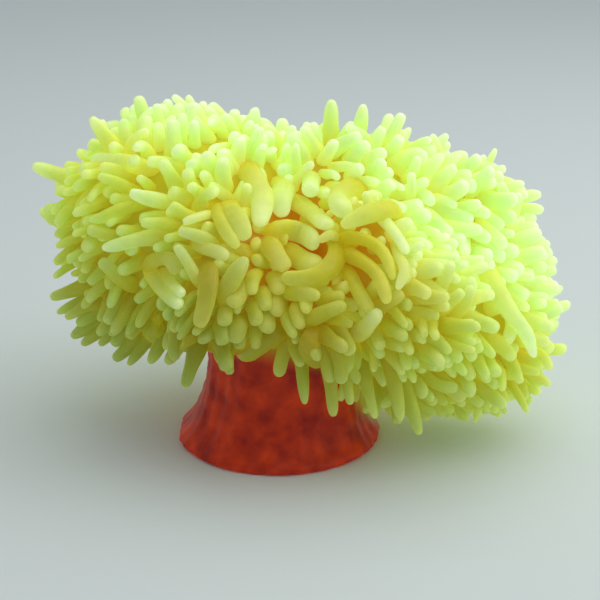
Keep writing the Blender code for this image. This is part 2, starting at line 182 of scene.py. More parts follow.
# Each place is mm to the right of the mouth, mm above it and mm off the disc, from the root to the tip.
LAID_TENTACLES = {  # name: (radius, flatness, how much it narrows, places)
    "lip_top": (2.9, 0.75, 0.2, (
        (-8, 4.5), (-6.8, 6.2, 2.5), (-3.4, 7.3, 5.2), (0.2, 6, 6.2), (4.2, 2.6, 6))),
    "lip_left": (2.7, 0.8, 0.1, ((-9.4, 3.4), (-8.2, 1.6, 3), (-6.2, -1.2, 5.2), (-3.2, -4.8, 5.6))),
    "lip_middle": (3.2, 0.85, 0, ((-4.5, 0.5), (-2.6, -0.2, 1.2), (0.2, -1.8, 3.4), (4.6, -4, 4.6))),
    "lip_knob": (1.5, 0.9, 0, ((9.5, 1), (9.7, 3.2, 3.5), (8.6, 4.8, 5.6), (6.6, 4.6, 6.4), (5.2, 2.6, 6.2))),
    "lip_right": (2.6, 0.8, 0, (
        (9, 4), (9.9, 1.2, 4), (9.9, -1.6, 6), (8.6, -4.4, 6.4), (5.2, -7.2, 6.4),
        (1, -8.3, 6), (-4.6, -6.9, 5.4))),
    "lip_under": (2.3, 0.85, 0.1, ((-7, -9.5), (-3.5, -10.2, 3.5), (0.5, -11.2, 4.5), (4.5, -11.8, 4.5))),
    "lip_under_right": (1.7, 0.9, 0, ((5, -13.5), (7, -11.8, 3), (11.5, -11.5, 4))),
    "under_broad": (2.7, 0.8, 0.1, ((1, -18), (4, -16.5, 3.5), (8, -15, 4.8), (11.5, -13.8, 4.8))),
    "brow_broad": (3, 0.8, 0.2, ((-6.5, 20), (-6, 17, 4), (-5.4, 13.5, 5.5), (-4.5, 9.8, 5.5))),
    "brow_right": (2.7, 0.8, 0.1, ((-2.2, 15.5), (0.2, 13.4, 4), (3.6, 10.8, 5.5), (7.6, 6.4, 5.5))),
    "brow_knob": (2.6, 0.95, 0, ((3, 21), (2.9, 19.2, 3.5), (2.6, 16.2, 6.2))),
    "brow_far": (3.4, 0.85, 0, ((16, 18.5), (15, 17, 4), (13.4, 14.6, 5.8), (10.8, 10.6, 6))),
    "arc_outer": (1.9, 0.9, 0, (
        (9.5, 2.5), (11.8, 3.8, 4), (15.5, 4.3, 6), (19.9, 2.3, 6.2), (22.8, -2.1, 6), (23.2, -8.5, 5))),
    "arc_inner": (2.3, 0.85, 0.1, (
        (11.5, 0), (14, -1.2, 4), (17, -2.8, 5.2), (20, -7, 5.4), (21.8, -10.8, 5), (24, -13.7, 4.5))),
    "arc_far": (1.7, 0.9, 0, ((25, 3), (25.6, 0, 4), (26.2, -5, 5), (25.3, -10, 4.5))),
    "arc_high": (2, 0.85, 0.1, ((21, 11), (22.8, 7.6, 4), (25.7, 3.6, 5), (28, -1, 4.5))),
    "arc_low": (2.3, 0.85, 0.1, ((12.5, -5), (14, -8.5, 4), (16, -12.5, 5), (19, -17, 5))),
    "lobe_high": (2.6, 0.75, 0.3, ((26, 10), (22.3, 10.3, 4.5), (16.5, 9.8, 6), (10.5, 6.6, 6))),
    "rosette_top": (1.8, 0.9, 0, ((-22.5, 1.5), (-24.5, 3, 3.5), (-28, 4.6, 5.2), (-32, 5.4, 5))),
    "rosette_top_low": (1.9, 0.9, 0, ((-28, 2.8), (-25.5, 1.8, 3), (-22.3, 0.4, 4.6), (-18.8, -1.8, 4.5))),
    "rosette_second": (1.6, 0.9, 0, ((-25.5, -9), (-27, -6.5, 3.5), (-29.5, -2.5, 5), (-32.5, 1.9, 5))),
    "rosette_curl": (2.2, 0.85, 0.1, (
        (-40.5, -4.5), (-40.2, -2, 4), (-37.5, -0.3, 5.5), (-34, -0.8, 5.8), (-31.3, -6, 4.8))),
    "rosette_outer": (1.9, 0.95, 0, (
        (-41, -3.5), (-40, -6.2, 4), (-37.5, -8.9, 5.5), (-34.5, -11.3, 5.8), (-31, -14.2, 5))),
    "rosette_inner": (1.6, 0.95, 0, ((-37.5, -4.5), (-36, -6.3, 4), (-33.6, -8.8, 5.4), (-30.4, -11, 5))),
    "pale_left": (1.5, 0.9, 0, ((-23.5, 10.5), (-25.5, 9.6, 4), (-28, 8.7, 5.2), (-30.8, 7.6, 5))),
    "curl_high": (1.8, 0.9, 0, ((-22.5, 12.5), (-21.4, 9.3, 4), (-19.6, 5.2, 5.2), (-16, 1, 5))),
    "curl_round": (2.8, 0.8, 0.2, ((-20, 12), (-18, 10.5, 3.5), (-16, 7.5, 5.5), (-14, 3, 5.3))),
    "sausage_high": (3.1, 0.85, 0.1, ((-14.8, 24), (-13.5, 20, 4), (-11.5, 14.5, 5.5), (-10.4, 7.4, 5.2))),
    "leaf_broad": (2.5, 0.65, 0.1, ((-24.5, -2), (-24.3, -5, 3.5), (-24, -11, 4.8), (-24.8, -19.5, 4.5))),
    "leaf_pointed": (2.7, 0.75, 0.4, (
        (-19.5, -13), (-18.5, -10.5, 3.5), (-16.8, -6, 5.5), (-14.4, -1.5, 5.8))),
    "stub_right": (2.6, 0.85, 0.3, ((14.5, -21), (16.5, -20, 3.5), (18, -17.5, 5.5), (19.2, -14, 5.5))),
    "diagonal": (2.2, 0.85, 0.5, ((5, -20), (3.5, -22.5, 3.8), (0.5, -26, 4.2), (-4.2, -31.5, 3))),
    "diagonal_low": (2, 0.85, 0.3, ((-2, -22.5), (-4, -25, 3), (-7.3, -30.2, 2.5))),
    "tongue_high": (2.1, 0.8, 0.4, ((-39, 22.5), (-42, 22.9, 3.5), (-48, 24.6, 4.6), (-55.5, 27, 4))),
    "tongue_inner": (2.3, 0.8, 0.3, ((-35, 13.5), (-38, 14, 3.5), (-41.5, 14.6, 5), (-46, 14.8, 4.8))),
    "tongue_middle": (2.5, 0.7, 0.4, ((-41, 14.5), (-44, 13.5, 3), (-50.5, 10.5, 4.5), (-56, 6.6, 4))),
    "tongue_low": (2.4, 0.75, 0.5, ((-37, 4.5), (-41, 4, 3.5), (-47, 2.5, 4.8), (-53.2, 1.6, 4.5))),
    "tongue_lowest": (1.9, 0.85, 0.2, (
        (-44.5, -9), (-46.5, -7.5, 3), (-49.5, -5.3, 4.2), (-53.3, -1.5, 4.2))),
    "cone": (2.8, 0.85, 0.8, ((49, -3), (52, -8, 4), (57, -16.6, 5.5), (64.8, -27, 4.5))),
    "lone": (1.7, 1, 0.2, ((-29, 29), (-29, 32, 3.5), (-28.7, 36, 7))),
    "blob_left": (2.8, 0.85, 0, ((-39, -16), (-38, -19, 3.5), (-36.3, -24.5, 4))),
    "broad_hanging": (2.6, 0.85, 0.1, ((-29, -20), (-28.3, -24, 3.5), (-27, -30, 3.5))),
    "smile_low_right": (1.7, 0.9, 0, ((33, -31), (34, -33, 3.5), (37.5, -35.3, 4.5), (42.5, -33.5, 4.2))),
}
STUBS = (  # (mm right of the mouth, mm above it, mm its tip leans right, radius) of short ones that droop
    (-11.4, -8.8, -0.9, 1.9), (-6.6, -10.4, 0.9, 2.5), (-14.4, -12.2, -1.6, 2.4), (-10.2, -13.6, 0.5, 2.1),
    (-5.4, -15, -1.2, 2.6), (-1, -14.2, 1.4, 1.9), (0.8, -18, -1.1, 2.4), (-3.2, -19.2, 0.8, 2),
    (-8.6, -18.2, -0.7, 2.7), (-12.9, -17, 1.3, 2), (-15.6, -21.2, -1.2, 2.5), (-11.2, -22.8, -0.3, 2.1),
    (-6.4, -23.2, 1.2, 2.5), (-18.4, -17.4, -0.9, 2.1), (-20.6, -21.6, 0.6, 2.3),
)
STUB_LINE = ((3.4,), (2.2, 2.6), (-2.4, 4.6))  # (mm above its place, mm off the disc)
OWN_MARKS = {  # name: (how golden, how pale), for those that differ from what stands round them
    "lip_top": (0.8, 0.3), "lip_left": (1, 0.1), "lip_middle": (1, 0.1), "lip_knob": (1, 0.2),
    "lobe_high": (0.5, 0), "brow_knob": (0.2, 0.6), "brow_far": (0.3, 0.2), "brow_broad": (0.3, 0.5),
    "brow_right": (0.4, 0.3), "sausage_high": (0.5, 0.4), "leaf_pointed": (0.7, 0.2), "leaf_broad": (0.7, 0),
    "stub_right": (0.6, 0.4), "rosette_top": (0.9, 0.45), "rosette_top_low": (1, 0.4),
    "rosette_second": (0.8, 0.5), "rosette_outer": (0.5, 0.7), "rosette_inner": (0.6, 0.7),
    "rosette_curl": (0.8, 0.1), "pale_left": (0.7, 0.5), "tongue_low": (0, 0.8), "tongue_inner": (0, 0.8),
    "tongue_high": (0, 0.8), "cone": (0, 1), "blob_left": (0, 0), "left_spike": (0, 0.4),
    "left_low_spike": (0, 0.3), "left_corner": (0, 0.4), "left_crown": (0, 0.6), "top": (0, 0.6),
    "top_second": (0, 0.8),
}
STANDING_TENTACLES = {  # name: (root sought and tip in mm, radius)
    "left_spike": ((-58, 8, 73), (-70, 6, 78), 2.3),
    "left_low_spike": ((-58, 5, 62), (-68, 3, 66), 2.2),
    "left_corner": ((-48, 13, 80), (-54, 13, 90), 2.2),
    "left_crown": ((-38, 16, 84), (-41, 15, 95.5), 2.3),
    "left_crown_inner": ((-31, 18, 84), (-33, 17, 94), 2.2),
    "valley_left": ((-22, 20, 82), (-23, 19, 93), 2),
    "top": ((13, 17, 82), (13, 15, 94.5), 2.3),
    "top_second": ((21, 16, 81), (22, 14, 93.5), 2.2),
    "right_finger": ((40, 15, 76), (45.5, 14, 85), 2),
    "hanging_long": ((12, -36, 38), (13, -39, 22), 1.9),
    "hanging_left": ((4, -36, 37), (5.5, -40, 26), 1.7),
    "hanging_right": ((17, -35, 35), (17.5, -38, 25), 1.8),
    "hanging_far_left": ((-25, -34, 40), (-26, -38, 30), 2.1),
    "hanging_middle_right": ((24, -33, 33), (24, -38, 21), 1.8),
    "hanging_far_right": ((30, -31, 36), (31, -35, 19), 2.1),
    "hanging_end_right": ((36, -25, 28), (36.5, -31, 13), 2.3),
    "low_left_1": ((-55, 0, 46), (-66, -1, 41.5), 2.2),
    "low_left_2": ((-54, -3, 42), (-61.5, -5, 37), 1.9),
    "low_left_3": ((-51, -2, 38), (-60.5, -2, 30), 2.3),
    "low_left_4": ((-46, -4, 36), (-52, -7, 29.5), 1.8),
    "low_left_5": ((-40, -8, 36), (-47.5, -10, 26), 2.3),
    "low_left_6": ((-34, -12, 36), (-37, -18, 28.5), 2),
    "low_left_7": ((-55, -1, 44), (-64.5, 0, 36.5), 1.7),
    "low_left_8": ((-53, -2, 40), (-58.5, -4, 34.5), 2.2),
    "low_left_9": ((-49, -3, 37), (-57.5, -3, 28), 1.8),
    "low_left_10": ((-43, -6, 36), (-47.5, -9.5, 30), 2.3),
    "low_left_11": ((-37, -10, 36), (-43.5, -12, 25.5), 1.7),
    "low_left_12": ((-30, -16, 37), (-32, -22, 30), 2.2),
}


def unit(vectors):
    vectors = np.asarray(vectors, float)
    return vectors / np.maximum(np.linalg.norm(vectors, axis=-1, keepdims=True), 1e-12)


MOUTH_AXIS = unit((0.02, -0.86, 0.52))
ASKEW = (0.3, 0.5, 0.8)  # a way to cross others with
BEHIND = 1.0  # m, what counts as the distance off the mouth's axis on the far side of the crown


def crown_radius(directions):
    """Distance from the crown's centre to its surface, along each direction."""
    total = np.zeros(len(directions))
    for place, narrowness in CRESTS:
        crest = np.array(place) * MM - CROWN_CENTRE
        reach = np.linalg.norm(crest)
        along = directions @ (crest / reach)
        total += (reach / MM * np.exp(-narrowness * (1 - along))) ** FOLD_SHARPNESS
    return total ** (1 / FOLD_SHARPNESS) * MM - SKIN_DEPTH


def crown_point(directions):
    return CROWN_CENTRE + directions * crown_radius(directions)[:, None]


def crown_normals(directions, step=0.02):
    """The way in which the crown's surface faces, from four places a little off each direction."""
    side = unit(np.cross(directions, ASKEW))
    other = np.cross(directions, side)
    shifts = (step * side, -step * side, step * other, -step * other)
    ends = [crown_point(unit(directions + shift)) for shift in shifts]
    normals = unit(np.cross(ends[0] - ends[1], ends[2] - ends[3]))
    return normals * np.sign(np.sum(normals * directions, axis=1))[:, None]


def azimuths(points):
    """Degrees round the crown's centre, from +X."""
    return np.degrees(np.arctan2(points[:, 1] - CROWN_CENTRE[1], points[:, 0] - CROWN_CENTRE[0]))


def rim_heights(points):
    """Height of the tentacled disc's rim at each point's azimuth."""
    turns = (azimuths(points) + 180) % 360 - 180
    angles = [angle for angle, _ in RIM] + [RIM[0][0] + 360]
    heights = [height for _, height in RIM] + [RIM[0][1]]
    return np.interp(turns, angles, heights) * MM


def from_mouth(points):
    """Distance of each point off the mouth's axis, and its angle round it."""
    off = points - CROWN_CENTRE
    along = off @ MOUTH_AXIS
    side = unit(np.cross(MOUTH_AXIS, (1, 0, 0)))
    other = np.cross(MOUTH_AXIS, side)
    flat = off - along[:, None] * MOUTH_AXIS
    far = np.linalg.norm(flat, axis=1)
    far[along < 0] = BEHIND
    return far, np.arctan2(flat @ other, flat @ side)


def smooth_step(values, low, high):
    t = np.clip((values - low) / (high - low), 0, 1)
    return t * t * (3 - 2 * t)


def painted_shade_at(points):
    """How much painted shade each place gets, darker and more olive low and in front."""
    return 1 - smooth_step(points @ PAINTED_SHADE_FALL, *PAINTED_SHADE_REACH)


# ---- Modelling helpers ----
def deselect():
    if bpy.context.mode != "OBJECT":
        bpy.ops.object.mode_set(mode="OBJECT")
    bpy.ops.object.select_all(action="DESELECT")


def start_edit():
    """Edit mode, with the whole of the active object's mesh selected."""
    bpy.ops.object.mode_set(mode="EDIT")
    bpy.ops.mesh.select_all(action="SELECT")


def end_edit():
    """Object mode, with all the faces of the edited mesh turned outwards."""
    bpy.ops.mesh.select_all(action="SELECT")
    bpy.ops.mesh.normals_make_consistent(inside=False)
    bpy.ops.object.mode_set(mode="OBJECT")


def named(name):
    obj = bpy.context.active_object
    obj.name = obj.data.name = name
    return obj


def pick(*objects):
    """Selects these alone, and makes the last of them active."""
    deselect()
    for obj in objects:
        obj.select_set(True)
        bpy.context.view_layer.objects.active = obj


def apply_modifiers(obj):
    pick(obj)
    for modifier in list(obj.modifiers):
        bpy.ops.object.modifier_apply(modifier=modifier.name)


def points_of(obj):
    points = np.empty(len(obj.data.vertices) * 3)
    obj.data.vertices.foreach_get("co", points)
    return points.reshape(-1, 3)


def set_points(obj, points):
    obj.data.vertices.foreach_set("co", points.ravel())
    obj.data.update()


def add_attribute(data, name, values):
    layer = data.attributes.new(name, "FLOAT", "POINT")
    layer.data.foreach_set("value", np.asarray(values, float))


# ---- The skin: pedal disc, column, disc and mouth in one ----
def model_crown():
    """A sphere drawn out into the folds of the disc, with the mouth pressed in."""
    deselect()
    bpy.ops.mesh.primitive_ico_sphere_add(subdivisions=6, radius=1, location=(0, 0, 0))
    crown = named("crown")
    directions = unit(points_of(crown))
    points = crown_point(directions)
    tree = BVHTree.FromPolygons(points.tolist(), [tuple(face.vertices) for face in crown.data.polygons])
    far, turn = from_mouth(points)
    pit_width, pit_depth = MOUTH_PIT
    lip_radius, lip_height, lip_width = LIPS
    lift = -pit_depth * np.exp(-(far / pit_width) ** 2)
    wave = LIP_WAVE[0] + LIP_WAVE[1] * np.cos(LIP_FOLDS * turn)
    lift += lip_height * wave * np.exp(-((far - lip_radius) / lip_width) ** 2)
    pleats = np.cos(DISC_PLEATS * turn + 2 * np.sin(3 * turn))
    lift += PLEAT_HEIGHT * pleats * smooth_step(far, *PLEATS_FROM) * (1 - smooth_step(far, *PLEATS_END))
    set_points(crown, points + directions * lift[:, None])
    return crown, tree


def model_column():
    """A ring drawn up into the pedal disc and the column, wider at the foot and again at the top."""
    deselect()
    bpy.ops.mesh.primitive_circle_add(
        vertices=COLUMN_SIDES, radius=COLUMN_PROFILE[0][1] * MM, fill_type="NGON", location=(*COLUMN_BASE, 0))
    column = named("column_flesh")
    bpy.ops.object.transform_apply(location=True, rotation=True, scale=True)
    start_edit()
    lean = (COLUMN_TOP - COLUMN_BASE) / COLUMN_HEIGHT
    for (low, narrow), (high, wide) in zip(COLUMN_PROFILE, COLUMN_PROFILE[1:]):
        step = (high - low) * MM
        bpy.ops.mesh.extrude_region_move(
            TRANSFORM_OT_translate={"value": (lean[0] * step, lean[1] * step, step)})
        scale = wide / narrow
        centre = COLUMN_BASE + lean * high * MM
        bpy.ops.transform.resize(value=(scale, scale, 1), center_override=(*centre, high * MM))
    end_edit()
    return column


def wrinkle_column(points, share):
    """Shallow upright grooves and a few creases round the waist."""
    centre = COLUMN_BASE + np.outer(np.clip(points[:, 2] / COLUMN_HEIGHT, 0, 1), COLUMN_TOP - COLUMN_BASE)
    out = points[:, :2] - centre
    turn = np.arctan2(out[:, 1], out[:, 0])
    grooves = FOLDS[1] * np.cos(FOLDS[0] * turn)
    grooves += GROOVES[1] * np.cos(GROOVES[0] * turn + 3 * np.sin(2 * turn))
    height = points[:, 2] / MM
    creases = CREASES[1] * np.sin(CREASES[0] * height + 1.2 * np.sin(3 * turn))
    creases *= smooth_step(height, *CREASES_FROM)
    push = (grooves + creases) * MM * share * smooth_step(height, *WRINKLES_FROM)
    points[:, :2] += unit(out) * push[:, None]
    return points


def model_skin():
    """The whole skin, and the plain shape of the crown to lay tentacles on."""
    crown, tree = model_crown()
    column = model_column()
    pick(column, crown)
    bpy.ops.object.join()
    skin = named("anemone_skin")
    merge = skin.modifiers.new("merge", "REMESH")
    merge.mode = "VOXEL"
    merge.voxel_size = VOXEL
    soften = skin.modifiers.new("soften", "SMOOTH")
    soften.factor, soften.iterations = SOFTEN
    apply_modifiers(skin)
    points = points_of(skin)
    above_rim, fade = WRINKLES_END
    wrinkled = smooth_step(rim_heights(points) + above_rim - points[:, 2], 0, fade)
    points = wrinkle_column(points, wrinkled)
    points[:, 2] = np.maximum(points[:, 2], 0)
    set_points(skin, points)
    skin.data.shade_smooth()
    far, _ = from_mouth(points)
    below_rim, fade = RED_FROM
    add_attribute(skin.data, "red", smooth_step(rim_heights(points) - below_rim - points[:, 2], 0, fade))
    gold = 1 - smooth_step(far, *GOLD_SKIN)
    for place, reach in GOLD_PATCHES:
        off = np.linalg.norm(points - np.array(place) * MM, axis=1)
        gold = np.maximum(gold, 1 - smooth_step(off, GOLD_CORE * reach * MM, reach * MM))
    add_attribute(skin.data, "gold", gold)
    # painted shade on the skin, low and in front
    add_attribute(skin.data, "painted_shade", painted_shade_at(points))
    add_attribute(skin.data, "throat", 1 - smooth_step(far, *THROAT))
    return skin, tree


# ---- Tentacles ----
def model_finger(name, profile):
    """One upright finger of unit length and unit radius, drawn up ring by ring from its root."""
    deselect()
    bpy.ops.mesh.primitive_circle_add(
        vertices=FINGER_SIDES, radius=profile[0][1], fill_type="NGON", location=(0, 0, 0))
    finger = named(name)
    start_edit()
    for (low, narrow), (high, wide) in zip(profile, profile[1:]):
        bpy.ops.mesh.extrude_region_move(TRANSFORM_OT_translate={"value": (0, 0, high - low)})
        scale = wide / narrow
        bpy.ops.transform.resize(value=(scale, scale, 1), center_override=(0, 0, high))
    bpy.ops.mesh.extrude_region_move(TRANSFORM_OT_translate={"value": (0, 0, 1 - profile[-1][0])})
    bpy.ops.mesh.merge(type="CENTER")
    end_edit()
    finger.data.shade_smooth()
    add_attribute(finger.data, "along", points_of(finger)[:, 2])
    finger.data.uv_layers.new(name="OFBake")
    return finger


class Tentacle:
    """A soft finger, held as a chain of beads from its root in the disc to its tip."""

    def __init__(self, beads, radius, flat=1.0, give=1.0, taper=0.0, name=""):
        self.beads, self.radius, self.flat, self.give, self.taper = beads, radius, flat, give, taper
        self.name = name
        steps = np.diff(beads, axis=0)
        self.step = float(np.mean(np.linalg.norm(steps, axis=1)))
        self.heading = unit(steps[1])
        self.curl = np.zeros(3)
        self.phase = 0.0
        self.marks = {}


def values_of(bunch, name):
    return np.array([getattr(tentacle, name) for tentacle in bunch])


def spread_beads(places, short_of=0.0):
    """BEADS points, evenly apart, on a smooth line through the places that stops short of its end."""
    places = np.asarray(places, float)
    grown = np.vstack((2 * places[0] - places[1], places, 2 * places[-1] - places[-2]))
    line = []
    for a, b, c, d in zip(grown, grown[1:], grown[2:], grown[3:]):
        for t in np.linspace(0, 1, LINE_STEPS, endpoint=False):
            line.append(0.5 * (2 * b + (c - a) * t + (2 * a - 5 * b + 4 * c - d) * t ** 2
                               + (3 * b - a - 3 * c + d) * t ** 3))
    line = np.array(line + [places[-1]])
    run = np.concatenate(([0], np.cumsum(np.linalg.norm(np.diff(line, axis=0), axis=1))))
    wanted = np.linspace(0, run[-1] - short_of, BEADS)
    return np.column_stack([np.interp(wanted, run, line[:, k]) for k in range(3)])


def on_disc(tree, right, up, lift):
    """That place over the disc, in metres."""
    start = np.array(((MOUTH_PLACE[0] + right) * MM, 0, 0)) + UPWARD * (MOUTH_PLACE[1] + up) * MM
    hit, normal, _, _ = tree.ray_cast(Vector(start + FACING * SIGHT_START), Vector(-FACING))
    if hit is None:
        hit, normal, _, _ = tree.find_nearest(Vector(start))
    return np.array(hit) + FACING * lift * MM / max(np.array(normal) @ FACING, LEAST_FACING)


def laid_tentacles(tree):
    """The tentacles placed one by one: those laid on the disc, the stubs, and those that stand."""
    made = []
    rows = dict(LAID_TENTACLES)
    for index, (right, up, lean, radius) in enumerate(STUBS):
        line = [(right + lean * step, up + rise, *lift) for step, (rise, *lift) in enumerate(STUB_LINE)]
        rows[f"stub_{index}"] = (radius, *STUB_FORM, line)
    for name, (radius, flat, taper, (root, *places)) in rows.items():
        line = [on_disc(tree, *place) for place in ((*root, ROOT_LIFT), *places)]
        beads = spread_beads(line, TIP_ROOM * radius * MM)
        made.append(Tentacle(beads, radius * MM, flat, LAID_GIVE, taper, name))
    for name, (seek, tip, radius) in STANDING_TENTACLES.items():
        out = unit(np.array([seek]) * MM - CROWN_CENTRE)
        root = crown_point(out)[0] - out[0] * ROOT_DEPTH
        beads = spread_beads((root, np.array(tip) * MM), TIP_ROOM * radius * MM)
        made.append(Tentacle(beads, radius * MM, give=STANDING_GIVE, taper=STANDING_TAPER, name=name))
    return made


def comb(points):
    """A slow swirl over the disc, which lays neighbouring tentacles the same way."""
    x, y, z = (points / SWIRL_SIZE).T
    return np.column_stack((
        np.sin(0.9 * y + 0.7 * z + 1.3) + 0.6 * np.sin(1.7 * z - x),
        np.sin(0.8 * z + 0.9 * x + 4.1) + 0.6 * np.sin(1.6 * x - y + 2.0),
        np.sin(0.7 * x + 1.0 * y + 2.2) + 0.6 * np.sin(1.8 * y - z + 0.7)))


def grown_tentacles(taken, seed, room, lengths, bare):
    """Tentacles spread evenly over what the taken ones leave of the disc, from the lips to the rim."""
    chance = random.Random(seed)
    directions = unit([[chance.gauss(0, 1) for _ in range(3)] for _ in range(TRIES)])
    roots = crown_point(directions)
    normals = crown_normals(directions)
    above = roots[:, 2] - rim_heights(roots)
    far, _ = from_mouth(roots)
    swirl = comb(roots)
    mouth = crown_point(MOUTH_AXIS[None])[0]
    cells, made = {}, []
    covered = crown_point(unit(values_of(taken, "beads")[:, 1:-1].reshape(-1, 3) - CROWN_CENTRE))
    rooms = np.repeat(values_of(taken, "radius") + room, BEADS - 2)
    for i in np.nonzero((above > 0) & (far > bare))[0]:
        root, normal = roots[i], normals[i]
        cell = tuple(int(c // SPACING) for c in root)
        near = (
            other
            for di in (-1, 0, 1) for dj in (-1, 0, 1) for dk in (-1, 0, 1)
            for other in cells.get((cell[0] + di, cell[1] + dj, cell[2] + dk), ())
        )
        if any((root - other) @ (root - other) < SPACING ** 2 for other in near):
            continue
        if np.any(np.linalg.norm(covered - root, axis=1) < rooms):
            continue
        cells.setdefault(cell, []).append(root)
        chance = random.Random(seed * TRIES + int(i))  # so that no place changes another's draws
        near_mouth = float(1 - smooth_step(far[i], *MOUTH_BAND))
        droop = max(0.0, 1 - above[i] / DROOP_BAND)
        down = np.array((0, 0, -LIE_DOWN[0] - LIE_DOWN[1] * droop))
        lay = LIE[0] * unit(root - mouth) + LIE[1] * swirl[i] + down
        lay = unit(lay - normal * (lay @ normal))
        lean = LEAN + LEAN_ADDED[0] * near_mouth + LEAN_ADDED[1] * droop
        tilt = math.radians(chance.gauss(lean, LEAN_SPREAD))
        jitter = np.array([chance.gauss(0, JITTER) for _ in range(3)])
        heading = unit(normal * math.cos(tilt) + lay * math.sin(tilt) + jitter)
        length = chance.uniform(*lengths) * (1 - SHORTER[0] * droop - SHORTER[1] * near_mouth)
        step = length / (BEADS - 1)
        collar = root + normal * (step - ROOT_DEPTH)
        beads = np.vstack((collar - normal * step, collar + np.outer(np.arange(BEADS - 1) * step, heading)))
        radius = chance.uniform(*RADIUS)
        tentacle = Tentacle(beads, radius, chance.uniform(*FLATNESS), taper=chance.uniform(*TAPER))
        aim = unit(lay * CURL_WAY[0] + np.array((0, 0, -CURL_WAY[1])) + jitter * CURL_WAY[2])
        most_curl = CURL[1] + CURL_ADDED * near_mouth
        tentacle.curl = unit(np.cross(heading, aim)) * math.radians(chance.uniform(CURL[0], most_curl))
        made.append(tentacle)
    return made


def clear_laid(bunch):
    """Leaves out the grown tentacles that would hide a laid one from the front."""
    laid = [t for t in bunch if t.give == LAID_GIVE]
    under = values_of(laid, "beads")[:, 1:].reshape(-1, 3)
    widths = np.repeat(values_of(laid, "radius"), BEADS - 1)
    kept = []
    for tentacle in bunch:
        off = tentacle.beads[2:, None] - under[None]
        height = off @ FACING
        side = np.linalg.norm(off - height[..., None] * FACING, axis=2)
        beside = side < CLEAR_SIDE[0] * widths + CLEAR_SIDE[1] * tentacle.radius
        hiding = (height > 0) & (height < CLEAR_HEIGHT) & beside
        if tentacle.give < 1 or not hiding.any():
            kept.append(tentacle)
    return kept


def close_pairs(beads, widths):
    """Pairs of beads of different tentacles, or far apart on one, that may touch."""
    flat = beads.reshape(-1, 3)
    tree = KDTree(len(flat))
    for index, point in enumerate(flat):
        tree.insert(point, index)
    tree.balance()
    reach = PAIR_REACH * float(widths.max())
    return np.array([
        (index, other) for index, point in enumerate(flat) for _, other, _ in tree.find_range(point, reach)
        if other > index and (other // BEADS != index // BEADS or other - index > NEIGHBOURS)]).T


def settle(bunch, rounds):
    """Lets the fingers press each other apart until each has room, as soft ones do."""
    beads, headings, curls = (values_of(bunch, name) for name in ("beads", "heading", "curl"))
    steps = values_of(bunch, "step")[:, None]
    widths = (values_of(bunch, "radius")[:, None] * BEAD_WIDTHS).ravel()
    free = values_of(bunch, "give") == 1
    give = (values_of(bunch, "give")[:, None] * BEAD_GIVE).ravel()
    for turn in range(rounds):
        if turn % PAIRS_EVERY == 0:
            first, second = close_pairs(beads, widths)
        flat = beads.reshape(-1, 3)
        apart = flat[first] - flat[second]
        far = np.linalg.norm(apart, axis=1)
        short = np.clip((widths[first] + widths[second]) * PRESSED - far, 0, None)
        shove = apart / np.maximum(far, 1e-6)[:, None] * short[:, None]
        total = np.maximum(give[first] + give[second], 1e-6)
        move = np.zeros_like(flat)
        for k in range(3):
            move[:, k] += np.bincount(first, shove[:, k] * give[first] / total, len(flat))
            move[:, k] -= np.bincount(second, shove[:, k] * give[second] / total, len(flat))
        flat = flat + PACE * move
        off = flat - CROWN_CENTRE
        out = np.linalg.norm(off, axis=1)
        skin = crown_radius(off / out[:, None]) + OFF_SKIN * widths
        deep = np.clip(skin - out, 0, None) * give * (give > BARELY)
        flat = flat + off / out[:, None] * (PACE * deep)[:, None]
        flat[:, 2] += np.clip(widths + FLOOR_ROOM - flat[:, 2], 0, None) * (give > 0)
        beads = flat.reshape(beads.shape)
        way = headings
        for k in range(2, BEADS):
            aim = beads[:, k - 1] + steps * way
            beads[:, k] += (aim - beads[:, k]) * np.where(free, SPRING, 0.0)[:, None]
            link = beads[:, k] - beads[:, k - 1]
            ahead = unit(link)
            stretch = np.where(free, 1, np.linalg.norm(link, axis=1) / steps[:, 0])
            beads[:, k] = beads[:, k - 1] + steps * stretch[:, None] * ahead
            way = unit(ahead + np.cross(curls, ahead))
    for tentacle, places in zip(bunch, beads):
        tentacle.beads = places


def spline(points, run):
    """A smooth line through the points, by distance run."""
    slopes = np.gradient(points, run, axis=0)

    def at(distance):
        k = min(int(np.searchsorted(run, distance, "right")) - 1, len(run) - 2)
        span = run[k + 1] - run[k]
        t = (distance - run[k]) / span
        return ((1 + 2 * t) * (1 - t) ** 2 * points[k] + t * (1 - t) ** 2 * span * slopes[k]
                + t * t * (3 - 2 * t) * points[k + 1] + t * t * (t - 1) * span * slopes[k + 1])
    return at


